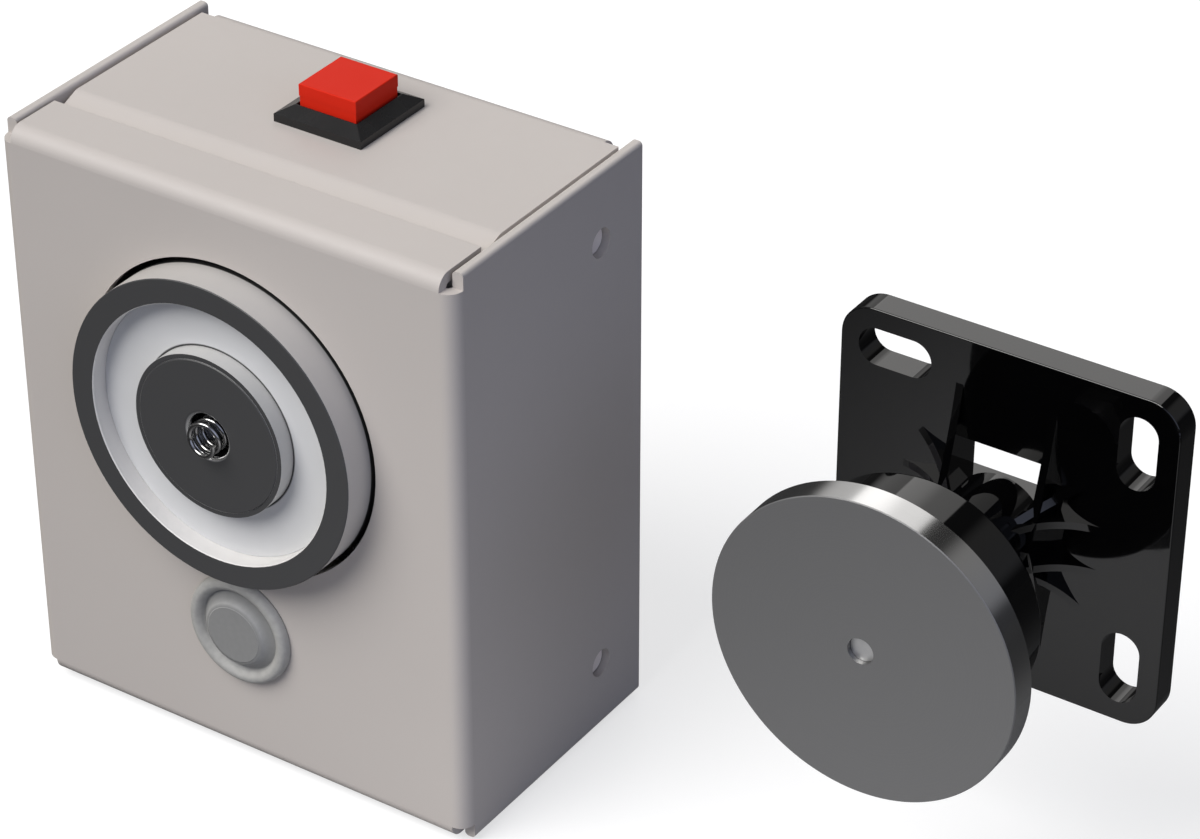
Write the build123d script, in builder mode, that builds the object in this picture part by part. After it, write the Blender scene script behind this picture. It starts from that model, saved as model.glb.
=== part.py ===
from build123d import *
from math import cos, radians, sin
import os

# Electromagnetic door holder: a housed pot magnet with a release button, and its ball-jointed armature.
# Frame: +X right, +Y into the wall, +Z up. The wall plane is Y = 0 and both units hang on it.
# The origin is the centre of the housing's four wall screws. Millimetres.

os.makedirs("parts", exist_ok=True)

# Housing: outer size and folded sheet
housing_width = 90.0
housing_height = 108.6
housing_depth = 52.3
sheet = 2.0
bend_inside = 0.7
strip_reach = 11.3
strip_step = 0.2
lid_step = 0.5
strip_gap = 0.1
joggle_front = 12.0
joggle_back = 16.6
lid_front = 4.0
side_gap = 0.8
edge_round = 0.7

# Snap tabs between the two folded sheets
tab_gap = 0.3
tab_reach = 21.0
tab_height = 16.0
tab_offset = 41.4
tab_hole_depth = 11.9
tab_hole_radius = 2.6
boss_clearance = 0.25
boss_height = 0.9

# Wall fixing
wall_hole_radius = 2.25
wall_hole_spacing_x = 60.0
wall_hole_spacing_z = 80.0

# Magnet
magnet_height = 13.4
magnet_proud = 5.8
pot_radius = 28.0
pot_wall = 4.4
pot_length = 31.1
pot_base = 6.0
pot_opening_gap = 1.1
core_radius = 13.9
edge_break = 0.15
resin_recess = 3.2
resin_thickness = 2.4
bobbin_wall = 0.8
bobbin_flange = 1.2
fit_gap = 0.05
winding_gap = 0.8

# Ejector spring in the core
spring_bore_radius = 3.9
spring_bore_depth = 14.0
spring_bore_round = 0.9
spring_radius = 2.75
spring_wire_radius = 0.4
spring_proud = 2.4
spring_pitch = 1.85
spring_seat_gap = 0.05

# Magnet bolt and bridge
bridge_sheet = 3.0
bridge_half_span = 22.0
bridge_foot = 14.0
bridge_height = 32.0
bridge_bend = 4.0
bolt_radius = 4.0
bolt_clearance = 0.2
thread_clearance = 0.05
bolt_engagement = 7.0
bolt_head_flats = 13.0
bolt_head_height = 5.3
washer_radius = 7.5
washer_thickness = 1.6

# Release button
pot_button_gap = 1.6
bezel_size = 17.4
bezel_rim = 1.4
bezel_rise = 1.35
button_well = 12.2
button_wall = 1.6
cap_gap = 0.4
cap_top = 6.4
cap_thickness = 2.2
cap_seam = 0.1
plunger_skirt = 6.0
plunger_stem_radius = 2.0
stem_clearance = 0.05
button_body_length = 15.0
button_panel_gap = 0.2
clip_proud = 0.7
clip_length = 4.0
clip_width = 6.0
clip_gap = 0.1
switch_plug = 3.0
switch_base = 6.0
button_spring_radius = 3.6
button_spring_wire = 0.35
button_spring_pitch = 2.0
lug_width = 2.8
lug_thickness = 0.8
lug_length = 6.0
lug_spacing = 7.0

# Front plug
plug_drop = 27.8
plug_hole_radius = 7.2
plug_neck_gap = 0.1
plug_flange_radius = 10.2
plug_flange_thickness = 0.9
plug_knob_base_radius = 7.5
plug_knob_face_radius = 5.6
plug_knob_height = 2.4
plug_groove = 0.3
plug_edge_round = 0.5
plug_lip = 1.2
plug_tail = 2.0

# Terminal block and its screws
block_x = 4.0
block_z = -36.0
block_width = 36.0
block_height = 15.0
block_depth = 15.0
block_shoulder = 7.0
block_shoulder_depth = 8.0
pole_count = 4
pole_pitch = 6.8
wire_hole_radius = 1.7
wire_hole_depth = 5.0
clamp_screw_radius = 2.0
clamp_screw_length = 4.0
block_screw_radius = 1.5
block_screw_head_radius = 2.8
block_screw_head_height = 1.8
slot_width = 0.7
slot_depth = 0.8
screw_gap = 0.1

# Cable grommet in the chassis floor
grommet_edge = 21.0
grommet_depth = 18.0
grommet_hole_radius = 7.0
grommet_lip = 2.0
grommet_lip_thickness = 1.2
grommet_cup_depth = 1.6
grommet_wall = 1.6

# Armature: base plate, hub and ribs
armature_x = 115.0
armature_z = 11.1
plate_width = 59.0
plate_height = 60.2
plate_thickness = 5.0
plate_corner = 5.7
plate_edge = 0.25
slot_radius = 3.3
slot_length = 13.0
upright_slot_x = 22.6
upright_slot_z = 20.0
flat_slot_x = -19.8
flat_slot_z = 23.4
window_half_width = 7.5
window_height = 7.6
window_offset = 8.6
hub_radius = 7.9
rib_thickness = 1.3
rib_root = 1.0
upright_rib_reach = 21.9
upright_rib_rise = 6.3
upright_rib_hollow = 0.5
level_rib_offset = 4.0
level_rib_reach = 17.4
level_rib_rise = 10.5
level_rib_hollow = 0.27
slant_rib_angle = 38.0
slant_rib_reach = 18.5
slant_rib_rise = 7.6
slant_rib_hollow = 0.37

# Armature: ball joint, cup and disc
pivot_depth = 25.9
ball_radius = 4.8
ball_gap = 0.1
liner_wall = 1.4
liner_front = 3.0
socket_mouth = 1.9
socket_ring_thickness = 2.5
neck_radius = 2.4
cup_radius = 20.5
cup_back = 28.8
cup_wall = 2.4
cup_floor = 2.9
cup_round = 0.6
disc_radius = 26.2
disc_back = 42.6
disc_thickness = 5.0
disc_hole_radius = 2.25
stud_gap = 0.05
stud_recess = 0.9
stud_flange_radius = 4.8
stud_flange_thickness = 2.4

# Derived places
half_width = housing_width / 2
half_height = housing_height / 2
grommet_x = half_width - grommet_edge
bend_outside = bend_inside + sheet
corner_relief = bend_outside + strip_step
strip_inset = bend_outside
front_y = -housing_depth
panel_back_y = front_y + sheet
strip_top = half_height - strip_step
lid_top = half_height - lid_step
lid_under_strip = strip_top - sheet - strip_gap
chassis_half = half_width - sheet - side_gap
tab_face = half_width - sheet - tab_gap
pot_front_y = front_y - magnet_proud
pot_back_y = pot_front_y + pot_length
pot_bore_radius = pot_radius - pot_wall
pot_floor_y = pot_back_y - pot_base
resin_front_y = pot_front_y + resin_recess
resin_back_y = resin_front_y + resin_thickness
bobbin_radius = core_radius + fit_gap + bobbin_wall
bridge_back_y = pot_back_y + bridge_sheet
bolt_seat_y = bridge_back_y + washer_thickness
button_size = button_well + 2 * button_wall
button_y = pot_back_y + pot_button_gap + button_size / 2
cap_size = button_well - 2 * cap_gap
liner_radius = ball_radius + ball_gap + liner_wall
socket_radius = liner_radius + ball_gap
hub_front = pivot_depth + socket_mouth
upright_rib_offset = window_half_width + rib_thickness / 2


def axis_plane(x, z, y):
    """A sketch plane facing the viewer: its own x is X and its own y is Z."""
    return Plane(origin=(x, y, z), x_dir=(1, 0, 0), z_dir=(0, -1, 0))


def turning_plane(x, z):
    """A half section through an axis along Y: its own x is the radius and its own y is -Y."""
    return Plane(origin=(x, 0, z), x_dir=(1, 0, 0), z_dir=(0, 0, -1))


# Front cover: panel, side flanges and two short strips folded from one sheet
with BuildPart() as front_cover:
    with BuildSketch(Plane.XY.offset(-half_height + corner_relief)) as cover_section:
        Rectangle(housing_width, housing_depth, align=(Align.CENTER, Align.MAX))
        fillet(cover_section.vertices().group_by(Axis.Y)[0], bend_outside)
        with BuildSketch(mode=Mode.PRIVATE) as cover_hollow:
            Rectangle(housing_width - 2 * sheet, housing_depth - sheet, align=(Align.CENTER, Align.MAX))
            fillet(cover_hollow.vertices().group_by(Axis.Y)[0], bend_inside)
        add(cover_hollow.sketch, mode=Mode.SUBTRACT)
    extrude(amount=housing_height - 2 * corner_relief)
    for side in (-1, 1):
        with BuildSketch(Plane.YZ.offset(side * (half_width - sheet / 2))):
            Rectangle(housing_depth - bend_outside, housing_height, align=(Align.MAX, Align.CENTER))
        extrude(amount=sheet / 2, both=True)
    fillet(front_cover.edges().filter_by(Axis.Y).group_by(Axis.Z)[0], min(edge_round, 0.45 * sheet))
    fillet(front_cover.edges().filter_by(Axis.Y).group_by(Axis.Z)[-1], min(edge_round, 0.45 * sheet))
    with BuildSketch(Plane.YZ) as strip_section:
        with BuildLine():
            FilletPolyline(
                (front_y, half_height - corner_relief - bend_outside),
                (front_y, strip_top),
                (front_y + strip_reach, strip_top),
                radius=bend_outside,
            )
            offset(amount=sheet, side=Side.RIGHT)
        make_face()
        mirror(about=Plane.XZ)
    extrude(amount=half_width - strip_inset, both=True)
    with BuildSketch(axis_plane(0, 0, front_y - 1)):
        with Locations((0, magnet_height)):
            Circle(pot_radius + pot_opening_gap)
        with Locations((0, -plug_drop)):
            Circle(plug_hole_radius)
    extrude(amount=-(sheet + 2), mode=Mode.SUBTRACT)
    with BuildSketch(Plane.YZ):
        with Locations((-tab_hole_depth, tab_offset), (-tab_hole_depth, -tab_offset)):
            Circle(tab_hole_radius)
    extrude(amount=half_width + 1, both=True, mode=Mode.SUBTRACT)

# Back chassis: wall plate, lid and floor folded from one sheet, with joggled edges under the cover's strips
with BuildPart() as back_chassis:
    with BuildSketch(Plane.YZ):
        with BuildLine():
            FilletPolyline(
                (front_y + lid_front, lid_under_strip),
                (front_y + joggle_front, lid_under_strip),
                (front_y + joggle_back, lid_top),
                (0, lid_top),
                (0, -lid_top),
                (front_y + joggle_back, -lid_top),
                (front_y + joggle_front, -lid_under_strip),
                (front_y + lid_front, -lid_under_strip),
                radius=bend_outside,
            )
            offset(amount=sheet, side=Side.RIGHT)
        make_face()
    extrude(amount=chassis_half, both=True)
    with BuildSketch(Plane.XZ) as corner_notches:
        with GridLocations(2 * chassis_half, 2 * half_height, 2, 2):
            Rectangle(2 * strip_inset, 4 * bend_outside)
    extrude(amount=bend_outside, mode=Mode.SUBTRACT)
    for side in (-1, 1):
        for level in (-1, 1):
            with BuildSketch(Plane.XY.offset(level * tab_offset - tab_height / 2)):
                with BuildLine():
                    FilletPolyline(
                        (side * chassis_half * 0.6, 0),
                        (side * tab_face, 0),
                        (side * tab_face, -tab_reach),
                        radius=bend_outside,
                    )
                    offset(amount=sheet, side=Side.RIGHT if side > 0 else Side.LEFT)
                make_face()
            extrude(amount=tab_height)
            with BuildSketch(Plane.YZ.offset(side * tab_face)):
                with Locations((-tab_hole_depth, level * tab_offset)):
                    Circle(tab_hole_radius - boss_clearance)
            extrude(amount=side * boss_height)
    with BuildSketch(Plane.XZ):
        with GridLocations(wall_hole_spacing_x, wall_hole_spacing_z, 2, 2):
            Circle(wall_hole_radius)
        for block_side in (-1, 1):
            with Locations((block_x + block_side * (block_width - block_shoulder) / 2, block_z)):
                Circle(block_screw_radius + thread_clearance)
    extrude(amount=sheet, mode=Mode.SUBTRACT)
    with BuildSketch(Plane.XY.offset(lid_top)):
        with Locations((0, button_y)):
            Rectangle(button_size + 2 * button_panel_gap, button_size + 2 * button_panel_gap)
    extrude(amount=-sheet, mode=Mode.SUBTRACT)
    with BuildSketch(Plane.XY.offset(-lid_top)):
        with Locations((grommet_x, -grommet_depth)):
            Circle(grommet_hole_radius)
    extrude(amount=sheet, mode=Mode.SUBTRACT)

# Magnet pot: turned steel cup
with BuildPart() as magnet_pot:
    with BuildSketch(axis_plane(0, magnet_height, pot_back_y)):
        Circle(pot_radius)
        Circle(bolt_radius + bolt_clearance, mode=Mode.SUBTRACT)
    extrude(amount=pot_length)
    with BuildSketch(axis_plane(0, magnet_height, pot_floor_y)):
        Circle(pot_bore_radius)
    extrude(amount=pot_length, mode=Mode.SUBTRACT)
    chamfer(magnet_pot.edges().filter_by(GeomType.CIRCLE).group_by(Axis.Y)[0], edge_break)

# Magnet core: turned steel pole with the spring's bore
with BuildPart() as magnet_core:
    with BuildSketch(axis_plane(0, magnet_height, pot_floor_y)):
        Circle(core_radius)
    extrude(amount=pot_floor_y - pot_front_y)
    chamfer(magnet_core.edges().group_by(Axis.Y)[0], edge_break)
    with BuildSketch(axis_plane(0, magnet_height, pot_front_y)):
        Circle(spring_bore_radius)
    extrude(amount=-spring_bore_depth, mode=Mode.SUBTRACT)
    bore_mouth = magnet_core.edges().filter_by(GeomType.CIRCLE).group_by(Axis.Y)[0].sort_by(SortBy.RADIUS)[0]
    fillet(bore_mouth, spring_bore_round)
    with BuildSketch(axis_plane(0, magnet_height, pot_floor_y)):
        Circle(bolt_radius + thread_clearance)
    extrude(amount=bolt_engagement + 1, mode=Mode.SUBTRACT)

# Coil: bobbin, copper winding and the sealing resin ring
with BuildPart() as coil_bobbin:
    with BuildSketch(turning_plane(0, magnet_height)):
        with BuildLine():
            Polyline(
                (core_radius + fit_gap, -pot_floor_y),
                (pot_bore_radius - fit_gap, -pot_floor_y),
                (pot_bore_radius - fit_gap, -pot_floor_y + bobbin_flange),
                (bobbin_radius, -pot_floor_y + bobbin_flange),
                (bobbin_radius, -resin_back_y - bobbin_flange),
                (pot_bore_radius - fit_gap, -resin_back_y - bobbin_flange),
                (pot_bore_radius - fit_gap, -resin_back_y),
                (bobbin_radius, -resin_back_y),
                (bobbin_radius, -pot_front_y - edge_break),
                (core_radius + fit_gap, -pot_front_y - edge_break),
                close=True,
            )
        make_face()
    revolve(axis=Axis((0, 0, magnet_height), (0, 1, 0)))

with BuildPart() as coil_winding:
    with BuildSketch(axis_plane(0, magnet_height, pot_floor_y - bobbin_flange - fit_gap)):
        Circle(pot_bore_radius - winding_gap)
        Circle(bobbin_radius + fit_gap, mode=Mode.SUBTRACT)
    extrude(amount=pot_floor_y - resin_back_y - 2 * bobbin_flange - 2 * fit_gap)

with BuildPart() as coil_resin:
    with BuildSketch(axis_plane(0, magnet_height, resin_back_y)):
        Circle(pot_bore_radius - fit_gap)
        Circle(bobbin_radius + fit_gap, mode=Mode.SUBTRACT)
    extrude(amount=resin_thickness)

# Ejector spring: pushes the armature off when the current stops
with BuildPart() as ejector_spring:
    spring_back_y = pot_front_y + spring_bore_depth - spring_seat_gap - spring_wire_radius
    spring_length = spring_back_y - pot_front_y + spring_proud - spring_wire_radius
    with BuildLine():
        ejector_path = Helix(
            pitch=spring_pitch,
            height=spring_length,
            radius=spring_radius,
            center=(0, spring_back_y, magnet_height),
            direction=(0, -1, 0),
        )
    with BuildSketch(Plane(origin=ejector_path @ 0, z_dir=ejector_path % 0)):
        Circle(spring_wire_radius)
    sweep()

# Magnet bridge: bent strap welded to the wall plate, which carries the pot
with BuildPart() as magnet_bridge:
    with BuildSketch(Plane.XY.offset(magnet_height - bridge_height / 2)):
        with BuildLine():
            FilletPolyline(
                (-bridge_half_span - bridge_foot, -sheet),
                (-bridge_half_span, -sheet),
                (-bridge_half_span, bridge_back_y),
                (bridge_half_span, bridge_back_y),
                (bridge_half_span, -sheet),
                (bridge_half_span + bridge_foot, -sheet),
                radius=bridge_bend,
            )
            offset(amount=bridge_sheet, side=Side.RIGHT)
        make_face()
    extrude(amount=bridge_height)
    with BuildSketch(axis_plane(0, magnet_height, bridge_back_y)):
        Circle(bolt_radius + bolt_clearance)
    extrude(amount=bridge_sheet, mode=Mode.SUBTRACT)

with BuildPart() as lock_washer:
    with BuildSketch(axis_plane(0, magnet_height, bolt_seat_y)):
        Circle(washer_radius)
        Circle(bolt_radius + bolt_clearance, mode=Mode.SUBTRACT)
    extrude(amount=washer_thickness)

with BuildPart() as magnet_bolt:
    with BuildSketch(axis_plane(0, magnet_height, bolt_seat_y)):
        RegularPolygon(bolt_head_flats / 2, 6, major_radius=False)
    extrude(amount=-bolt_head_height)
    with BuildSketch(axis_plane(0, magnet_height, bolt_seat_y)):
        Circle(bolt_radius)
    extrude(amount=bolt_seat_y - pot_floor_y + bolt_engagement)

# Release button: bevelled bezel on a square barrel with two snap clips
with BuildPart() as button_housing:
    with BuildSketch(Plane.XY.offset(lid_top)):
        with Locations((0, button_y)):
            Rectangle(bezel_size, bezel_size)
    extrude(amount=bezel_rim)
    with BuildSketch(Plane.XY.offset(lid_top + bezel_rim)):
        with Locations((0, button_y)):
            Rectangle(bezel_size, bezel_size)
    with BuildSketch(Plane.XY.offset(lid_top + bezel_rim + bezel_rise)):
        with Locations((0, button_y)):
            Rectangle(button_well + 0.2, button_well + 0.2)
    loft()
    with BuildSketch(Plane.XY.offset(lid_top)):
        with Locations((0, button_y)):
            Rectangle(button_size, button_size)
    extrude(amount=-button_body_length)
    clip_top = lid_top - sheet - clip_gap
    for side in (-1, 1):
        with BuildSketch(Plane.XZ.offset(-button_y)):
            with BuildLine():
                Polyline(
                    (side * button_size / 2, clip_top),
                    (side * (button_size / 2 + clip_proud), clip_top),
                    (side * button_size / 2, clip_top - clip_length),
                    close=True,
                )
            make_face()
        extrude(amount=clip_width / 2, both=True)
    with BuildSketch(Plane.XY.offset(lid_top - button_body_length)):
        with Locations((0, button_y)):
            Rectangle(button_well, button_well)
    extrude(amount=button_body_length + bezel_rim + bezel_rise, mode=Mode.SUBTRACT)

seam_z = lid_top + cap_top - cap_thickness
switch_top = lid_top - button_body_length + switch_plug

with BuildPart() as button_cap:
    with BuildSketch(Plane.XY.offset(seam_z)):
        with Locations((0, button_y)):
            Rectangle(cap_size, cap_size)
    extrude(amount=cap_thickness)
    fillet(button_cap.edges().group_by(Axis.Z)[-1], 0.2)

with BuildPart() as button_plunger:
    with BuildSketch(Plane.XY.offset(seam_z)):
        with Locations((0, button_y)):
            Rectangle(cap_size - 2 * cap_seam, cap_size - 2 * cap_seam)
    extrude(amount=-plunger_skirt)
    with BuildSketch(Plane.XY.offset(seam_z - plunger_skirt)):
        with Locations((0, button_y)):
            Circle(plunger_stem_radius)
    extrude(amount=-(seam_z - plunger_skirt - switch_top + switch_plug))

with BuildPart() as button_spring:
    button_spring_base = switch_top + button_spring_wire + fit_gap
    with BuildLine():
        return_path = Helix(
            pitch=button_spring_pitch,
            height=seam_z - plunger_skirt - switch_top - 2 * button_spring_wire - 2 * fit_gap,
            radius=button_spring_radius,
            center=(0, button_y, button_spring_base),
        )
    with BuildSketch(Plane(origin=return_path @ 0, z_dir=return_path % 0)):
        Circle(button_spring_wire)
    sweep()

# Switch block: plugs into the barrel from below
with BuildPart() as switch_block:
    with BuildSketch(Plane.XY.offset(switch_top)):
        with Locations((0, button_y)):
            Rectangle(button_well - 2 * fit_gap, button_well - 2 * fit_gap)
    extrude(amount=-switch_plug)
    with BuildSketch(Plane.XY.offset(switch_top - switch_plug)):
        with Locations((0, button_y)):
            Rectangle(button_size, button_size)
    extrude(amount=-switch_base)
    with BuildSketch(Plane.XY.offset(switch_top)):
        with Locations((0, button_y)):
            Circle(plunger_stem_radius + stem_clearance)
    extrude(amount=-(switch_plug + switch_base / 2), mode=Mode.SUBTRACT)
    chamfer(switch_block.edges().group_by(Axis.Z)[0], 0.6)

with BuildPart() as switch_lugs:
    with BuildSketch(Plane.XY.offset(switch_top - switch_plug - switch_base)):
        with Locations((-lug_spacing / 2, button_y), (lug_spacing / 2, button_y)):
            Rectangle(lug_thickness, lug_width)
    extrude(amount=-lug_length)
    with BuildSketch(Plane.YZ):
        with Locations((button_y, switch_top - switch_plug - switch_base - lug_length + 1.6)):
            Circle(0.7)
    extrude(amount=lug_spacing, both=True, mode=Mode.SUBTRACT)

# Front plug: soft blind plug with a low conical knob
with BuildPart() as front_plug:
    with BuildSketch(turning_plane(0, -plug_drop)):
        with BuildLine():
            Polyline(
                (0, -panel_back_y - plug_tail),
                (plug_hole_radius - plug_lip, -panel_back_y - plug_tail),
                (plug_hole_radius + plug_lip / 2, -panel_back_y - plug_neck_gap),
                (plug_hole_radius - plug_neck_gap, -panel_back_y - plug_neck_gap),
                (plug_hole_radius - plug_neck_gap, -front_y),
                (plug_flange_radius, -front_y),
                (plug_flange_radius, -front_y + plug_flange_thickness),
                (plug_knob_base_radius + plug_groove, -front_y + plug_flange_thickness),
                (plug_knob_base_radius + plug_groove, -front_y + plug_flange_thickness - plug_groove),
                (plug_knob_base_radius, -front_y + plug_flange_thickness - plug_groove),
                (plug_knob_face_radius, -front_y + plug_knob_height),
                (0, -front_y + plug_knob_height),
                close=True,
            )
        make_face()
    revolve(axis=Axis((0, 0, -plug_drop), (0, 1, 0)))
    plug_rims = front_plug.edges().filter_by(GeomType.CIRCLE).sort_by(Axis.Y)
    fillet(plug_rims.filter_by(lambda e: abs(e.radius - plug_knob_face_radius) < 0.01), 0.35)
    flange_rims = front_plug.edges().filter_by(GeomType.CIRCLE).sort_by(Axis.Y)
    fillet(flange_rims.filter_by(lambda e: abs(e.radius - plug_flange_radius) < 0.01)[0], plug_edge_round)

# Terminal block on the wall plate, with wire holes above and below and clamp screws in front
with BuildPart() as terminal_block:
    with BuildSketch(axis_plane(block_x, block_z, -sheet)):
        Rectangle(block_width, block_height)
    extrude(amount=block_shoulder_depth)
    with BuildSketch(axis_plane(block_x, block_z, -sheet)):
        Rectangle(block_width - 2 * block_shoulder, block_height)
    extrude(amount=block_depth)
    chamfer(terminal_block.edges().filter_by(Axis.X).group_by(Axis.Y)[0], 1.5)
    with BuildSketch(axis_plane(block_x, block_z, -sheet - block_depth)):
        with GridLocations(pole_pitch, 1, pole_count - 1, 1):
            Rectangle(1.0, block_height)
    extrude(amount=-2.5, mode=Mode.SUBTRACT)
    with BuildSketch(axis_plane(block_x, block_z, -sheet - block_depth)):
        with GridLocations(pole_pitch, 1, pole_count, 1):
            Circle(clamp_screw_radius + screw_gap)
    extrude(amount=-clamp_screw_length - 1, mode=Mode.SUBTRACT)
    for level in (-1, 1):
        with BuildSketch(Plane.XY.offset(block_z + level * block_height / 2)):
            with Locations((block_x, -sheet - block_depth / 2)):
                with GridLocations(pole_pitch, 1, pole_count, 1):
                    Circle(wire_hole_radius)
        extrude(amount=-level * wire_hole_depth, mode=Mode.SUBTRACT)
    with BuildSketch(axis_plane(block_x, block_z, -sheet)):
        with GridLocations(block_width - block_shoulder, 1, 2, 1):
            Circle(block_screw_radius + thread_clearance)
    extrude(amount=block_shoulder_depth, mode=Mode.SUBTRACT)

with BuildPart() as terminal_screws:
    with BuildSketch(axis_plane(block_x, block_z, -sheet - block_depth + 1)):
        with GridLocations(pole_pitch, 1, pole_count, 1):
            Circle(clamp_screw_radius)
    extrude(amount=-clamp_screw_length)
    with BuildSketch(axis_plane(block_x, block_z, -sheet - block_depth + 1)):
        with GridLocations(pole_pitch, 1, pole_count, 1):
            Rectangle(2 * clamp_screw_radius, slot_width)
    extrude(amount=-slot_depth, mode=Mode.SUBTRACT)

block_seat_y = -sheet - block_shoulder_depth
with BuildPart() as block_screws:
    with BuildSketch(axis_plane(block_x, block_z, block_seat_y)):
        with GridLocations(block_width - block_shoulder, 1, 2, 1):
            Circle(block_screw_head_radius)
    extrude(amount=block_screw_head_height)
    with BuildSketch(axis_plane(block_x, block_z, block_seat_y)):
        with GridLocations(block_width - block_shoulder, 1, 2, 1):
            Circle(block_screw_radius)
    extrude(amount=block_seat_y)
    with BuildSketch(axis_plane(block_x, block_z, block_seat_y - block_screw_head_height)):
        with GridLocations(block_width - block_shoulder, 1, 2, 1):
            Rectangle(2 * block_screw_head_radius, slot_width)
    extrude(amount=-slot_depth, mode=Mode.SUBTRACT)

# Cable grommet: grooved rubber cup, pierced when the cable is fitted
grommet_axis = Axis((grommet_x, -grommet_depth, 0), (0, 0, 1))
with BuildPart() as cable_grommet:
    with BuildSketch(Plane(origin=(grommet_x, -grommet_depth, 0), x_dir=(1, 0, 0), z_dir=(0, -1, 0))):
        floor_out = -lid_top
        floor_in = -lid_top + sheet
        neck = grommet_hole_radius - plug_neck_gap
        with BuildLine():
            Polyline(
                (0, floor_out - grommet_lip_thickness + grommet_cup_depth),
                (neck - grommet_wall, floor_out - grommet_lip_thickness + grommet_cup_depth),
                (neck - grommet_wall, floor_out - grommet_lip_thickness),
                (neck + grommet_lip - 0.4, floor_out - grommet_lip_thickness),
                (neck + grommet_lip, floor_out),
                (neck, floor_out),
                (neck, floor_in + plug_neck_gap),
                (neck + grommet_lip / 2, floor_in + plug_neck_gap),
                (neck - grommet_wall / 2, floor_in + 2 * grommet_lip_thickness),
                (0, floor_in + 2 * grommet_lip_thickness),
                close=True,
            )
        make_face()
    revolve(axis=grommet_axis)


def rib_plane(angle, spread):
    """A plane standing on the armature's plate: its own x runs outward and its own y is -Y."""
    outward = Vector(cos(radians(angle)), 0, sin(radians(angle)))
    across = Vector(-sin(radians(angle)), 0, cos(radians(angle)))
    foot = Vector(armature_x, -plate_thickness, armature_z) + across * spread
    return Plane(origin=foot, x_dir=outward, z_dir=-across)


def rib_outline(start, reach, rise, hollow):
    """A gusset: straight along the plate and the hub, concave along its free edge."""
    Line((start, 0), (reach, 0))
    ThreePointArc((reach, 0), (start + (reach - start) * 0.4, rise * hollow), (start, rise))
    Line((start, rise), (start, 0))


# Armature base: slotted plate, hub and gusset ribs moulded in one piece
with BuildPart() as armature_base:
    with BuildSketch(axis_plane(armature_x, armature_z, 0)):
        RectangleRounded(plate_width, plate_height, plate_corner)
    extrude(amount=plate_thickness)
    fillet(armature_base.edges().group_by(Axis.Y)[0], plate_edge)
    with BuildSketch(axis_plane(armature_x, armature_z, 0)):
        with Locations((upright_slot_x, upright_slot_z), (upright_slot_x, -upright_slot_z)):
            SlotOverall(slot_length, 2 * slot_radius, rotation=90)
        with Locations((flat_slot_x, flat_slot_z), (flat_slot_x, -flat_slot_z)):
            SlotOverall(slot_length, 2 * slot_radius)
        with GridLocations(1, 2 * window_offset, 1, 2):
            Rectangle(2 * window_half_width, window_height)
    extrude(amount=plate_thickness, mode=Mode.SUBTRACT)
    with BuildSketch(axis_plane(armature_x, armature_z, -plate_thickness)):
        Circle(hub_radius)
    extrude(amount=hub_front - plate_thickness)
    rib_angles = {
        0: (level_rib_offset, level_rib_reach, level_rib_rise, level_rib_hollow),
        180: (level_rib_offset, level_rib_reach, level_rib_rise, level_rib_hollow),
        90: (upright_rib_offset, upright_rib_reach, upright_rib_rise, upright_rib_hollow),
        270: (upright_rib_offset, upright_rib_reach, upright_rib_rise, upright_rib_hollow),
    }
    for angle, (spread, reach, rise, hollow) in rib_angles.items():
        for side in (-1, 1):
            root = max(hub_radius ** 2 - spread ** 2, 0) ** 0.5 - rib_root
            with BuildSketch(rib_plane(angle, side * spread)):
                with BuildLine():
                    rib_outline(max(root, 0), reach, rise, hollow)
                make_face()
            extrude(amount=rib_thickness / 2, both=True)
    for angle in (slant_rib_angle, 180 - slant_rib_angle, 180 + slant_rib_angle, -slant_rib_angle):
        with BuildSketch(rib_plane(angle, 0)):
            with BuildLine():
                rib_outline(hub_radius - rib_root, slant_rib_reach, slant_rib_rise, slant_rib_hollow)
            make_face()
        extrude(amount=rib_thickness / 2, both=True)
    with BuildSketch(turning_plane(armature_x, armature_z)):
        with BuildLine():
            Line((0, pivot_depth - socket_radius), (0, hub_front))
            Line((0, hub_front), (socket_radius, hub_front))
            Line((socket_radius, hub_front), (socket_radius, pivot_depth))
            CenterArc((0, pivot_depth), socket_radius, 270, 90)
        make_face()
    revolve(axis=Axis((armature_x, 0, armature_z), (0, 1, 0)), mode=Mode.SUBTRACT)

# Socket ring: closes the ball seat at the end of the hub
with BuildPart() as socket_ring:
    ring_front = hub_front + socket_ring_thickness
    with BuildSketch(axis_plane(armature_x, armature_z, -hub_front)):
        Circle(hub_radius)
    extrude(amount=socket_ring_thickness)
    fillet(socket_ring.edges().group_by(Axis.Y)[0], 0.6)
    with BuildSketch(turning_plane(armature_x, armature_z)):
        with Locations((0, pivot_depth)):
            Circle(socket_radius)
            Rectangle(4 * socket_radius, 4 * socket_radius, align=(Align.MAX, Align.CENTER), mode=Mode.SUBTRACT)
    revolve(axis=Axis((armature_x, 0, armature_z), (0, 1, 0)), mode=Mode.SUBTRACT)

# Ball liner: spherical plastic shell between the socket and the ball
with BuildPart() as ball_liner:
    with BuildSketch(turning_plane(armature_x, armature_z)):
        with Locations((0, pivot_depth)):
            Circle(liner_radius)
            Circle(ball_radius + ball_gap, mode=Mode.SUBTRACT)
        Rectangle(4 * liner_radius, 4 * hub_front, align=(Align.MAX, Align.CENTER), mode=Mode.SUBTRACT)
        with Locations((0, pivot_depth + liner_front)):
            Rectangle(2 * liner_radius, 2 * liner_radius, align=(Align.MIN, Align.MIN), mode=Mode.SUBTRACT)
    revolve(axis=Axis((armature_x, 0, armature_z), (0, 1, 0)))

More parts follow.
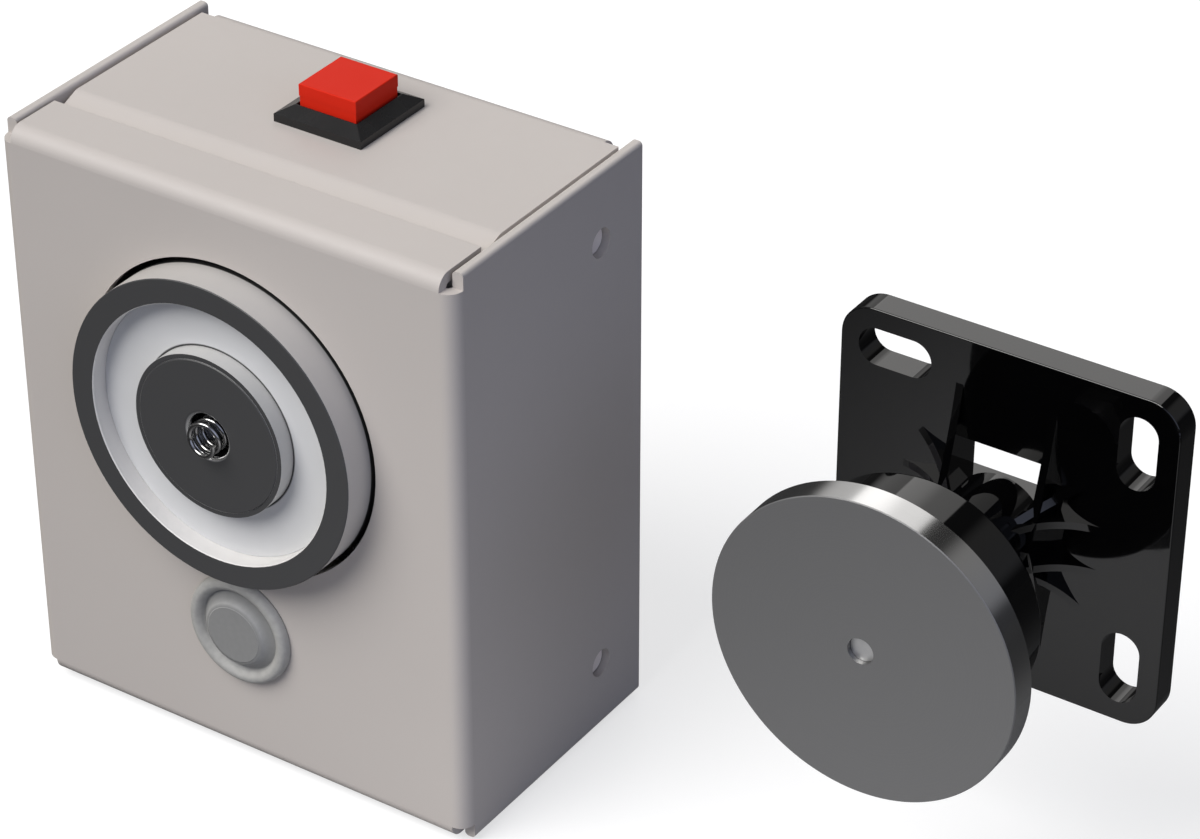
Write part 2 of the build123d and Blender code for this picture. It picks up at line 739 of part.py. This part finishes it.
# Ball stud: ball, neck, flange and threaded end that shows in the disc's hole
with BuildPart() as ball_stud:
    with BuildSketch(axis_plane(armature_x, armature_z, -pivot_depth)):
        Circle(neck_radius)
    extrude(amount=disc_back - cup_floor - pivot_depth)
    with BuildSketch(axis_plane(armature_x, armature_z, -disc_back + cup_floor)):
        RegularPolygon(stud_flange_radius, 6, major_radius=False)
    extrude(amount=-stud_flange_thickness)
    with BuildSketch(axis_plane(armature_x, armature_z, -disc_back + cup_floor)):
        Circle(disc_hole_radius - stud_gap)
    extrude(amount=cup_floor + disc_thickness - stud_recess)
    with Locations((armature_x, -pivot_depth, armature_z)):
        Sphere(ball_radius)

# Swivel cup: hollow moulded cup behind the disc
with BuildPart() as swivel_cup:
    with BuildSketch(axis_plane(armature_x, armature_z, -cup_back)):
        Circle(cup_radius)
    extrude(amount=disc_back - cup_back)
    fillet(swivel_cup.edges().group_by(Axis.Y)[-1], cup_round)
    with BuildSketch(axis_plane(armature_x, armature_z, -cup_back)):
        Circle(cup_radius - cup_wall)
    extrude(amount=disc_back - cup_back - cup_floor, mode=Mode.SUBTRACT)
    with BuildSketch(axis_plane(armature_x, armature_z, -disc_back)):
        Circle(disc_hole_radius)
    extrude(amount=-cup_floor, mode=Mode.SUBTRACT)

# Armature disc: the steel plate that the magnet holds
with BuildPart() as armature_disc:
    with BuildSketch(axis_plane(armature_x, armature_z, -disc_back)):
        Circle(disc_radius)
        Circle(disc_hole_radius, mode=Mode.SUBTRACT)
    extrude(amount=disc_thickness)
    disc_rims = armature_disc.edges().filter_by(GeomType.CIRCLE)
    chamfer(disc_rims.filter_by(lambda e: e.radius > disc_radius - 0.01), edge_break)

pieces = {
    "front_cover": front_cover,
    "back_chassis": back_chassis,
    "magnet_pot": magnet_pot,
    "magnet_core": magnet_core,
    "coil_bobbin": coil_bobbin,
    "coil_winding": coil_winding,
    "coil_resin": coil_resin,
    "ejector_spring": ejector_spring,
    "magnet_bridge": magnet_bridge,
    "lock_washer": lock_washer,
    "magnet_bolt": magnet_bolt,
    "button_housing": button_housing,
    "button_cap": button_cap,
    "button_plunger": button_plunger,
    "button_spring": button_spring,
    "switch_block": switch_block,
    "switch_lugs": switch_lugs,
    "front_plug": front_plug,
    "terminal_block": terminal_block,
    "terminal_screws": terminal_screws,
    "block_screws": block_screws,
    "cable_grommet": cable_grommet,
    "armature_base": armature_base,
    "socket_ring": socket_ring,
    "ball_liner": ball_liner,
    "ball_stud": ball_stud,
    "swivel_cup": swivel_cup,
    "armature_disc": armature_disc,
}
for label, piece in pieces.items():
    piece.part.label = label
    export_step(piece.part, f"parts/{label}.step")
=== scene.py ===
"""Looks, camera and light for the electromagnetic door holder. Metres, in the frame of the CAD part."""
import math
from collections import namedtuple

import bpy
from mathutils import Matrix, Vector


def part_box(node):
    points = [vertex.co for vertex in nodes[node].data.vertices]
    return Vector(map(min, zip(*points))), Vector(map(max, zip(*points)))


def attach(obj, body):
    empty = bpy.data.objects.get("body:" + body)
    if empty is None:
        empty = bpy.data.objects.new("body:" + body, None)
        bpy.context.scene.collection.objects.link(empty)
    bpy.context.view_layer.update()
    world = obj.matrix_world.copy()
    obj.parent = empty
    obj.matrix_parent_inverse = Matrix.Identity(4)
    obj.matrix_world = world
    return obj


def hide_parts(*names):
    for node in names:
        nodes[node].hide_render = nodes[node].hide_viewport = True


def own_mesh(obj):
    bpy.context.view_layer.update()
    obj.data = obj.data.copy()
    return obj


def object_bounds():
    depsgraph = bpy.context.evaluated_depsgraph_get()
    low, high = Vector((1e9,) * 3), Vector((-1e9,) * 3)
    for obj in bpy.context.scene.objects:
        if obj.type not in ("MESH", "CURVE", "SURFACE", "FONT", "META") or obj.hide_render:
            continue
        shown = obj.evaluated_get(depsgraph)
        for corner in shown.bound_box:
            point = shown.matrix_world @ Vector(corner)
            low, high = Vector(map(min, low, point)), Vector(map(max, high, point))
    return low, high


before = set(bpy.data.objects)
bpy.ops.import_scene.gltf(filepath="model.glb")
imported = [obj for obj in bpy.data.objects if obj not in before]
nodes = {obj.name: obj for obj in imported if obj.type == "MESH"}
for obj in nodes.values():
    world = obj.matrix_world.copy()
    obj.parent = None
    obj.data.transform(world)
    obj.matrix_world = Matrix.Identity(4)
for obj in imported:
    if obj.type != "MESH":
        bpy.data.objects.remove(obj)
cad_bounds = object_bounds()

# Places read from the frame
pot_low, pot_high = map(Vector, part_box("magnet_pot"))
core_low, core_high = map(Vector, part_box("magnet_core"))
disc_low, disc_high = map(Vector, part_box("armature_disc"))
plug_low, plug_high = map(Vector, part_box("front_plug"))
bobbin_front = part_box("coil_bobbin")[0][1]
panel_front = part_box("front_cover")[0][1]
magnet_axis = (pot_low + pot_high) / 2
disc_axis = (disc_low + disc_high) / 2
plug_axis = (plug_low + plug_high) / 2

# Axes by their index
ACROSS, INWARD = 0, 1


def scaled(color, share):
    return tuple(channel * share for channel in color)


def grey(level):
    return (level, level, level)


# Helpers for node trees
class Tree:
    """A node tree with short ways to add nodes and to join them."""

    def __init__(self, tree, coordinates):
        self.tree = tree
        self.place = tree.nodes.new("ShaderNodeTexCoord").outputs[coordinates]

    def node(self, kind, **settings):
        made = self.tree.nodes.new(kind)
        for key, value in settings.items():
            setattr(made, key, value)
        return made

    def put(self, socket, value):
        """A link from an output, or else a fixed value."""
        if isinstance(value, bpy.types.NodeSocket):
            self.tree.links.new(value, socket)
        elif isinstance(value, tuple) and len(value) == 3 and socket.type == "RGBA":
            socket.default_value = (*value, 1.0)
        else:
            socket.default_value = value

    def feed(self, node, *sources, **inputs):
        """Sets a node's inputs, first those given in order and then those given by name."""
        for socket, value in zip(node.inputs, sources):
            self.put(socket, value)
        for key, value in inputs.items():
            self.put(node.inputs[key.replace("_", " ")], value)
        return node

    def math(self, operation, first, second=0.0):
        return self.feed(self.node("ShaderNodeMath", operation=operation), first, second).outputs[0]

    def vector(self, operation, *sources, **inputs):
        return self.feed(self.node("ShaderNodeVectorMath", operation=operation), *sources, **inputs)

    def spread(self, value, low, high, to_low=0.0, to_high=1.0, kind="LINEAR"):
        """Maps low..high to to_low..to_high and stops at both ends."""
        made = self.node("ShaderNodeMapRange", interpolation_type=kind)
        self.feed(made, Value=value, From_Min=low, From_Max=high, To_Min=to_low, To_Max=to_high)
        return made.outputs["Result"]

    def noise(self, scale, detail=3.0, place=None):
        made = self.node("ShaderNodeTexNoise")
        return self.feed(made, Scale=scale, Detail=detail, Vector=place or self.place).outputs["Fac"]

    def wander(self, scale, low, high):
        """A value that drifts between low and high over the surface."""
        return self.spread(self.noise(scale), 0.3, 0.7, low, high)

    def blend(self, share, first, second):
        made = self.feed(self.node("ShaderNodeMix", data_type="RGBA"), Factor=share, A=first, B=second)
        return made.outputs["Result"]

    def tinted(self, share, color, low, high):
        """A colour whose brightness runs from low to high with share."""
        return self.blend(share, scaled(color, low), scaled(color, high))

    def shade(self, color, share):
        """A colour times a share."""
        return self.vector("SCALE", color, Scale=share).outputs[0]

    def bump(self, height, distance, strength):
        made = self.feed(self.node("ShaderNodeBump"), Height=height, Distance=distance, Strength=strength)
        return made.outputs["Normal"]

    def distance(self, point, kept):
        """Distance from a point, measured along the kept axes only."""
        shifted = self.vector("SUBTRACT", self.place, point)
        flat = self.vector("MULTIPLY", shifted.outputs[0], kept)
        return self.vector("LENGTH", flat.outputs[0]).outputs["Value"]

    def radius(self, axis):
        """Distance from a line along Y through axis."""
        return self.distance(axis, (1, 0, 1))

    def along(self, axis):
        return self.feed(self.node("ShaderNodeSeparateXYZ"), self.place).outputs[axis]

    def toward(self, direction):
        """How far the place lies toward a direction, as a dot product."""
        return self.vector("DOT_PRODUCT", self.place, direction).outputs["Value"]


class Finish(Tree):
    """A material with one Principled shader."""

    def __init__(self, name):
        self.material = bpy.data.materials.new(name)
        self.material.use_nodes = True
        super().__init__(self.material.node_tree, "Object")
        self.shader = self.tree.nodes["Principled BSDF"]

    def facing(self, axis):
        """How far the surface faces +axis, from -1 to 1, in the object's own frame."""
        normal = self.node("ShaderNodeTexCoord").outputs["Normal"]
        return self.feed(self.node("ShaderNodeSeparateXYZ"), normal).outputs[axis]

    def set(self, **values):
        self.feed(self.shader, **values)


# Materials
Skin = namedtuple("Skin", "color roughness metallic")


def powder_paint(name, color, painted_side_light_color=None):
    """Powder paint; a side colour, if given, is painted light on the faces turned left and right."""
    look = Finish(name)
    # Painted light: faces turned left or right take a paler colour, as if lit there.
    if painted_side_light_color is not None:
        turned = look.math("ABSOLUTE", look.facing(ACROSS))
        color = look.blend(look.spread(turned, 0.8, 0.95), color, painted_side_light_color)
    cloud = look.noise(22.0, detail=2.0)
    speck = look.noise(2600.0, detail=2.0)
    tone = look.shade(color, look.spread(cloud, 0.0, 1.0, 0.97, 1.03))
    look.set(Base_Color=look.shade(tone, look.spread(speck, 0.62, 0.75, 1.0, 0.985)))
    look.set(Roughness=look.wander(400.0, 0.42, 0.5), Specular_IOR_Level=0.22)
    look.set(Normal=look.bump(look.noise(1300.0, detail=2.0), distance=0.000012, strength=0.5))
    return look.material


def moulded(name, color, roughness, specular=0.5):
    """Moulded plastic with a fine grain."""
    look = Finish(name)
    look.set(Base_Color=look.tinted(look.noise(45.0, detail=2.0), color, 0.93, 1.07))
    look.set(Roughness=look.wander(160.0, roughness * 0.9, roughness * 1.12), Specular_IOR_Level=specular)
    look.set(Normal=look.bump(look.noise(900.0, detail=2.0), distance=0.000008, strength=0.5))
    return look.material


def mirror_black(name):
    """Polished moulded black: nearly a mirror, with slow waves of the mould and very fine dust marks."""
    look = Finish(name)
    look.set(Base_Color=look.blend(look.noise(60.0), (0.0008, 0.0008, 0.0009), (0.0014, 0.0014, 0.0016)))
    dust = look.noise(700.0, detail=4.0)
    look.set(Roughness=look.spread(dust, 0.45, 0.8, 0.035, 0.075), Specular_IOR_Level=0.55)
    look.set(Normal=look.bump(look.noise(36.0, detail=1.0), distance=0.00003, strength=0.18))
    return look.material


def plated(name, color, roughness):
    """Plated metal, a little uneven in tone and gloss."""
    look = Finish(name)
    look.set(Base_Color=look.tinted(look.noise(130.0), color, 0.9, 1.05), Metallic=1.0)
    look.set(Roughness=look.wander(900.0, roughness * 0.8, roughness * 1.2))
    look.set(Normal=look.bump(look.noise(1530.0), distance=0.000004, strength=0.5))
    return look.material


def turned_faces(name, face, outside, inside, split, axis, front, dark_behind=None):
    """A turned piece: fine rings on its lapped face in front, other skins on its outer and inner sides.

    split is any radius between the two sides. The lapped face takes in the outer edge's rounding but not the
    inner one's, and ends 0.6 to 0.9 mm behind front. Behind dark_behind, the outer side is painted
    near-black:
    painted shade of the gap it sits in.
    """
    rings_per_metre = 5200.0
    look = Finish(name)
    radius = look.radius(axis)
    outer = look.spread(radius, split - 0.0001, split + 0.0001)
    inner_flat = look.spread(look.facing(INWARD), -0.80, -0.97)
    outer_flat = look.spread(look.facing(INWARD), -0.4, -0.6)
    near_front = look.spread(look.along(INWARD), front + 0.0009, front + 0.0006)
    lapped = look.math("MULTIPLY", look.spread(outer, 0.0, 1.0, inner_flat, outer_flat), near_front)

    cloud = look.noise(150.0)
    inner_color, outer_color = (look.tinted(cloud, skin.color, 0.96, 1.04) for skin in (inside, outside))
    # Painted shade: behind dark_behind the outer side fades to near-black for the shade in the gap there.
    if dark_behind is not None:
        painted_gap_shade = look.spread(look.along(INWARD), dark_behind, dark_behind + 0.0002)
        outer_color = look.blend(painted_gap_shade, outer_color, grey(0.02))
    ring_number = look.math("MULTIPLY", radius, rings_per_metre)
    ring_place = look.feed(look.node("ShaderNodeCombineXYZ"), X=ring_number).outputs[0]
    rings = look.noise(1.0, detail=2.0, place=ring_place)
    face_color = look.tinted(rings, face.color, 0.92, 1.08)
    side_roughness = look.spread(outer, 0.0, 1.0, inside.roughness, outside.roughness)
    side_metallic = look.spread(outer, 0.0, 1.0, inside.metallic, outside.metallic)
    look.set(Base_Color=look.blend(lapped, look.blend(outer, inner_color, outer_color), face_color))
    look.set(Roughness=look.spread(lapped, 0.0, 1.0, side_roughness, face.roughness))
    look.set(Metallic=look.spread(lapped, 0.0, 1.0, side_metallic, face.metallic))
    look.set(Normal=look.bump(rings, distance=0.000006, strength=0.35))
    return look.material


def cast_resin(name, color, axis, inner):
    """Cast resin with a thin dark line round the tube in its middle: painted shadow of the gap there."""
    look = Finish(name)
    # Painted shadow: a dark ring just outside the tube, where the gap between resin and tube lies in shade.
    painted_gap_shadow = look.spread(look.radius(axis), inner + 0.0004, inner + 0.0002)
    cast = look.tinted(look.noise(90.0), color, 0.95, 1.04)
    look.set(Base_Color=look.blend(painted_gap_shadow, cast, scaled(color, 0.08)))
    look.set(Roughness=look.wander(260.0, 0.45, 0.6), Specular_IOR_Level=0.4)
    look.set(Normal=look.bump(look.noise(220.0, detail=2.0), distance=0.00003, strength=0.3))
    return look.material


def soft_plug(name, knob, flange, axis, knob_radius):
    """Soft matt plastic in two colours, flange and knob; the knob's sides are painted paler as painted light.
    """
    look = Finish(name)
    grain = look.noise(900.0)
    on_knob = look.spread(look.radius(axis), knob_radius + 0.0003, knob_radius - 0.0003)
    painted_knob_side_light = look.spread(look.facing(INWARD), -0.95, -0.6)
    # Painted light: the knob's sides, turned away from the front, are up to half again paler than its face.
    color = look.blend(on_knob, flange, look.tinted(painted_knob_side_light, knob, 1.0, 1.5))
    look.set(Base_Color=look.blend(look.spread(grain, 0.35, 0.7, 0.0, 0.25), color, scaled(knob, 0.85)))
    look.set(Roughness=look.spread(grain, 0.3, 0.7, 0.6, 0.75), Specular_IOR_Level=0.3)
    look.set(Normal=look.bump(grain, distance=0.00001, strength=0.5))
    return look.material


def wound_wire(name):
    """Enamelled copper wire, wound in close turns."""
    look = Finish(name)
    wave = look.node("ShaderNodeTexWave", bands_direction="Y")
    turns = look.feed(wave, Scale=420.0, Vector=look.place).outputs["Fac"]
    look.set(Base_Color=look.blend(turns, (0.22, 0.07, 0.03), (0.62, 0.27, 0.13)), Metallic=0.85)
    look.set(Roughness=0.32, Normal=look.bump(turns, distance=0.00015, strength=0.8))
    return look.material


paint_color = (0.505, 0.468, 0.439)
paint = powder_paint("powder_paint", paint_color)
# The chassis's faces turned left and right are painted paler as painted light.
chassis_paint = powder_paint("chassis_paint", paint_color, painted_side_light_color=(0.78, 0.72, 0.68))

dark_face = Skin((0.055, 0.055, 0.056), 0.5, 0.1)
within_pot_wall = 0.002
shadow_gap = 0.0002
pot_finish = turned_faces(
    "turned_pot", dark_face, outside=Skin((0.50, 0.48, 0.46), 0.4, 0.1),
    inside=Skin((0.66, 0.645, 0.625), 0.45, 0.0), split=pot_high.z - magnet_axis.z - within_pot_wall,
    axis=magnet_axis, front=pot_low.y, dark_behind=panel_front + shadow_gap)
core_finish = turned_faces(
    "turned_core", dark_face, outside=Skin((0.55, 0.55, 0.545), 0.35, 0.2),
    inside=Skin(grey(0.62), 0.18, 1.0), split=0.008, axis=magnet_axis, front=core_low.y)
bobbin_wall_and_gap = 0.0009
tube_radius = (core_high.x - core_low.x) / 2 + bobbin_wall_and_gap
bobbin_side = Skin((0.50, 0.495, 0.485), 0.5, 0.0)
bobbin_finish = turned_faces(
    "lapped_bobbin", dark_face, outside=bobbin_side, inside=bobbin_side, split=tube_radius / 2,
    axis=magnet_axis, front=bobbin_front)
disc_finish = turned_faces(
    "ground_disc", Skin(grey(0.172), 0.5, 0.5), outside=Skin(grey(0.60), 0.16, 1.0),
    inside=Skin(grey(0.22), 0.3, 0.9), split=0.015, axis=disc_axis, front=disc_low.y)
resin_finish = cast_resin("cast_resin", (0.62, 0.622, 0.625), magnet_axis, tube_radius)

knob_base = 0.0075
plug_finish = soft_plug("soft_plug", knob=(0.235, 0.235, 0.231), flange=(0.38, 0.375, 0.358),
                        axis=plug_axis, knob_radius=knob_base + 0.0001)
bright_wire = plated("bright_wire", grey(0.34), 0.16)
zinc = plated("zinc_plate", (0.62, 0.63, 0.66), 0.3)
tinned = plated("tinned_brass", (0.70, 0.66, 0.55), 0.3)
stud_steel = plated("stud_steel", grey(0.62), 0.5)
black_satin = moulded("black_satin", (0.008, 0.008, 0.0085), 0.26, specular=0.36)
red_gloss = moulded("red_cap", (0.62, 0.021, 0.008), 0.36, specular=0.06)
liner_white = moulded("liner_white", (0.75, 0.74, 0.70), 0.3)
block_white = moulded("block_white", (0.72, 0.72, 0.70), 0.35)
grommet_black = moulded("grommet_black", grey(0.03), 0.7)
gloss_black = mirror_black("gloss_black")
copper = wound_wire("wound_copper")

finishes = {
    "front_cover": paint,
    "back_chassis": chassis_paint,
    "magnet_pot": pot_finish,
    "magnet_core": core_finish,
    "coil_bobbin": bobbin_finish,
    "coil_winding": copper,
    "coil_resin": resin_finish,
    "ejector_spring": bright_wire,
    "magnet_bridge": zinc,
    "lock_washer": zinc,
    "magnet_bolt": zinc,
    "button_housing": black_satin,
    "button_cap": red_gloss,
    "button_plunger": red_gloss,
    "button_spring": bright_wire,
    "switch_block": black_satin,
    "switch_lugs": tinned,
    "front_plug": plug_finish,
    "terminal_block": block_white,
    "terminal_screws": zinc,
    "block_screws": zinc,
    "cable_grommet": grommet_black,
    "armature_base": gloss_black,
    "socket_ring": gloss_black,
    "ball_liner": liner_white,
    "ball_stud": stud_steel,
    "swivel_cup": gloss_black,
    "armature_disc": disc_finish,
}


def coat(mesh, finish):
    mesh.materials.clear()
    mesh.materials.append(finish)


def add_piece(name, mesh, finish):
    """An object in the scene for a mesh with one finish."""
    coat(mesh, finish)
    made = bpy.data.objects.new(name, mesh)
    bpy.context.collection.objects.link(made)
    return made


for name, finish in finishes.items():
    coat(nodes[name].data, finish)


# Springs: round wire in place of the CAD solids, each hung on its body's empty
def coil(name, seat, direction, radius, wire, length, pitch, closed_turns, finish):
    """A compression spring from seat along direction, closed at its seat and open at its free end.

    radius is the coil's, and wire is the radius of the wire.
    """
    steps_per_turn = 28
    closed_spacing = 1.02
    closed_pitch = 2 * wire * closed_spacing
    closed_length = closed_pitch * closed_turns
    turns = closed_turns + (length - closed_length) / pitch
    count = int(turns * steps_per_turn)
    curve = bpy.data.curves.new(name, "CURVE")
    curve.dimensions = "3D"
    curve.bevel_depth = wire
    curve.bevel_resolution = 5
    curve.use_fill_caps = True
    spline = curve.splines.new("POLY")
    spline.points.add(count)
    forward = Vector(direction)
    across = forward.orthogonal().normalized()
    up = forward.cross(across)
    for index in range(count + 1):
        turn = turns * index / count
        rise = turn * closed_pitch if turn < closed_turns else closed_length + (turn - closed_turns) * pitch
        angle = 2 * math.pi * turn
        point = Vector(seat) + forward * rise
        point += across * (radius * math.cos(angle)) + up * (radius * math.sin(angle))
        spline.points[index].co = (*point, 1.0)
    holder = bpy.data.objects.new(name + "_path", curve)
    bpy.context.collection.objects.link(holder)
    mesh = bpy.data.meshes.new_from_object(holder.evaluated_get(bpy.context.evaluated_depsgraph_get()))
    bpy.data.objects.remove(holder)
    for face in mesh.polygons:
        face.use_smooth = True
    return add_piece(name, mesh, finish)


ejector_low, ejector_high = map(Vector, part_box("ejector_spring"))
ejector_wire = 0.00042
ejector_length = ejector_high.y - ejector_low.y - 2 * ejector_wire
ejector_seat = (magnet_axis.x, ejector_high.y - ejector_wire, magnet_axis.z)
ejector_coil = coil("ejector_coil", ejector_seat, (0, -1, 0), radius=0.0027, wire=ejector_wire,
                    length=ejector_length, pitch=0.0016, closed_turns=1.5, finish=bright_wire)
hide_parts("ejector_spring")
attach(ejector_coil, "ejector")
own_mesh(ejector_coil)

button_low, button_high = map(Vector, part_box("button_spring"))
button_wire = 0.00035
button_length = button_high.z - button_low.z - 2 * button_wire
button_middle = (button_low + button_high) / 2
button_seat = (button_middle.x, button_middle.y, button_low.z + button_wire)
button_coil = coil("button_coil", button_seat, (0, 0, 1), radius=0.0036, wire=button_wire,
                   length=button_length, pitch=0.002, closed_turns=1.0, finish=bright_wire)
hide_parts("button_spring")
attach(button_coil, "holder")
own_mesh(button_coil)


# Soft plug: a low domed flange, a groove and a tapered knob, turned about its axis
def lathe(name, center, profile, steps, finish):
    """A closed body of revolution about a line along Y; profile gives radius and depth in front of center."""
    points = []
    for radius, front in profile:
        for step in range(steps):
            angle = 2 * math.pi * step / steps
            points.append((center.x + radius * math.cos(angle), center.y - front,
                           center.z + radius * math.sin(angle)))
    last = (len(profile) - 1) * steps
    faces = []
    for start in range(0, last, steps):
        for step in range(steps):
            after = (step + 1) % steps
            faces.append((start + step, start + after, start + steps + after, start + steps + step))
    faces.append(tuple(range(steps)))
    faces.append(tuple(last + step for step in reversed(range(steps))))
    mesh = bpy.data.meshes.new(name)
    mesh.from_pydata(points, [], faces)
    mesh.update()
    for face in mesh.polygons:
        face.use_smooth = len(face.vertices) == 4
    return add_piece(name, mesh, finish)


def rounded(start, middle, end, count):
    """Points along a quadratic curve from start to end, drawn toward middle."""
    found = []
    for index in range(count + 1):
        share = index / count
        weights = ((1 - share) ** 2, 2 * share * (1 - share), share ** 2)
        found.append(tuple(sum(weight * value for weight, value in zip(weights, values))
                           for values in zip(start, middle, end)))
    return found


plug_rim = plug_high.x - plug_axis.x
plug_front = panel_front - plug_low.y
plug_back = panel_front - plug_high.y
plug_neck = 0.0071
flange_gap = 0.00003
crown_height = 0.0017
rim_rounding = 0.0012
crown_land = 0.0002
crown_sag = 0.0001
groove_slope = 0.0006
groove_width = 0.0002
groove_floor = 0.0003
knob_face = 0.0056
knob_rounding = 0.0003
knob_land = 0.0004
crown_edge = plug_rim - rim_rounding
groove_edge = knob_base + groove_width
plug_profile = (
    [(plug_neck, plug_back), (plug_neck, flange_gap)]
    + rounded((plug_rim, flange_gap), (plug_rim, crown_height), (crown_edge, crown_height), 10)
    + rounded((crown_edge - crown_land, crown_height), (groove_edge + groove_slope, crown_height - crown_sag),
              (groove_edge, crown_height / 2), 8)
    + [(knob_base, groove_floor)]
    + rounded((knob_face + knob_rounding, plug_front - knob_rounding), (knob_face, plug_front),
              (knob_face - knob_land, plug_front), 5)
)
plug_center = Vector((plug_axis.x, panel_front, plug_axis.z))
plug_piece = lathe("plug_piece", plug_center, plug_profile, 96, plug_finish)
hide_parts("front_plug")
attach(plug_piece, "holder")

# Floor
floor_gap = 0.0002
floor_reach = 6.0
pale_middle = (disc_axis.x + 0.015, disc_low.y - 0.07, 0.0)
pale_radius = 0.10
pale_falloff = 4.0
pale_level = 0.64
dark_level = 0.02
mottle_level = 0.01
seen_level = 0.39
seen_glow = 0.66


def floor_white():
    """White with soft shadows for the camera; for other rays a dark floor that is pale near the disc."""
    look = Finish("floor_white")
    away = look.math("DIVIDE", look.distance(pale_middle, (1, 1, 0)), pale_radius)
    fading = look.math("DIVIDE", pale_level, look.math("ADD", 1.0, look.math("POWER", away, pale_falloff)))
    mottle = look.math("MULTIPLY", look.noise(3.0), mottle_level)
    level = look.math("ADD", look.math("ADD", fading, dark_level), mottle)
    look.set(Base_Color=level, Roughness=0.9, Specular_IOR_Level=0.1)
    matt = look.feed(look.node("ShaderNodeBsdfDiffuse"), Color=grey(seen_level))
    glow = look.feed(look.node("ShaderNodeEmission"), Color=grey(1.0), Strength=seen_glow)
    seen = look.feed(look.node("ShaderNodeAddShader"), matt.outputs[0], glow.outputs[0])
    camera_ray = look.node("ShaderNodeLightPath").outputs["Is Camera Ray"]
    choice = look.feed(look.node("ShaderNodeMixShader"), camera_ray, look.shader.outputs[0], seen.outputs[0])
    look.feed(look.tree.nodes["Material Output"], choice.outputs[0])
    return look.material


floor_level = cad_bounds[0][2] - floor_gap
floor_corners = [(across * floor_reach, inward * floor_reach, floor_level)
                 for across, inward in ((-1, -1), (1, -1), (1, 1), (-1, 1))]
floor_mesh = bpy.data.meshes.new("floor")
floor_mesh.from_pydata(floor_corners, [], [(0, 1, 2, 3)])
floor = add_piece("floor", floor_mesh, floor_white())

# World
warm = (1.0, 0.985, 0.97)
cool = (0.74, 0.81, 1.05)
cool_direction = (0.8, -0.6, 0.0)
front_strength = 0.20
back_strength = 0.04
Panel = namedtuple("Panel", "direction edge core level")
panels = [
    Panel((-0.54, 0.69, 0.48), 0.92, 0.98, 0.6),
    Panel((-0.26, 0.70, 0.66), 0.948, 0.954, 1.1),
    Panel((0.56, 0.69, 0.45), 0.93, 0.98, 0.2),
    Panel((0.85, -0.40, 0.20), 0.50, 0.95, 0.66),
    Panel((-0.42, -0.25, 0.87), 0.80, 0.92, 0.3),
]


def studio_world():
    """Dim light, weaker from the wall's side and cooler from the right, with round soft panels.

    A panel's edge and core are cosines of the angle from its direction. The camera sees plain white instead.
    """
    world = bpy.data.worlds.new("studio")
    world.use_nodes = True
    sky = Tree(world.node_tree, "Generated")
    color = sky.blend(sky.spread(sky.toward(cool_direction), -0.1, 0.5), warm, cool)
    strength = sky.spread(sky.along(INWARD), -0.3, 0.65, front_strength, back_strength, kind="SMOOTHSTEP")
    for panel in panels:
        share = sky.toward(Vector(panel.direction).normalized())
        light = sky.spread(share, panel.edge, panel.core, 0.0, panel.level, kind="SMOOTHSTEP")
        strength = sky.math("ADD", strength, light)
    ambient = sky.feed(sky.tree.nodes["Background"], Color=color, Strength=strength)
    white = sky.feed(sky.node("ShaderNodeBackground"), Color=grey(1.0), Strength=1.0)
    camera_ray = sky.node("ShaderNodeLightPath").outputs["Is Camera Ray"]
    choice = sky.feed(sky.node("ShaderNodeMixShader"), camera_ray, ambient.outputs[0], white.outputs[0])
    sky.feed(sky.tree.nodes["World Output"], Surface=choice.outputs[0])
    return world


bpy.context.scene.world = studio_world()

# Key light from the upper left in front
key_direction = Vector((-0.30, -0.60, 0.76))
key = bpy.data.lights.new("key", "SUN")
key.energy = 3.2
key.angle = math.radians(45.0)
key.color = (1.0, 0.985, 0.96)
key_holder = bpy.data.objects.new("key", key)
key_holder.rotation_euler = key_direction.to_track_quat("Z", "Y").to_euler()
bpy.context.collection.objects.link(key_holder)

# Camera, fitted to the photograph
photo_width = 1200.0
focal_length_pixels = 4003.0
camera_place = Vector((0.34914, -0.47022, 0.36391))
camera_right = Vector((0.83294, 0.55337, 0.0)).normalized()
camera_forward = Vector((-0.46428, 0.69943, -0.54336)).normalized()
camera_up = camera_right.cross(camera_forward)
camera_data = bpy.data.cameras.new("camera")
camera_data.sensor_width = 36.0
camera_data.lens = camera_data.sensor_width * focal_length_pixels / photo_width
camera_data.clip_end = 30.0
camera = bpy.data.objects.new("camera", camera_data)
camera_turn = Matrix((camera_right, camera_up, -camera_forward)).transposed()
camera.matrix_world = Matrix.Translation(camera_place) @ camera_turn.to_4x4()
bpy.context.collection.objects.link(camera)
bpy.context.scene.camera = camera
bpy.context.scene.view_settings.view_transform = "Standard"
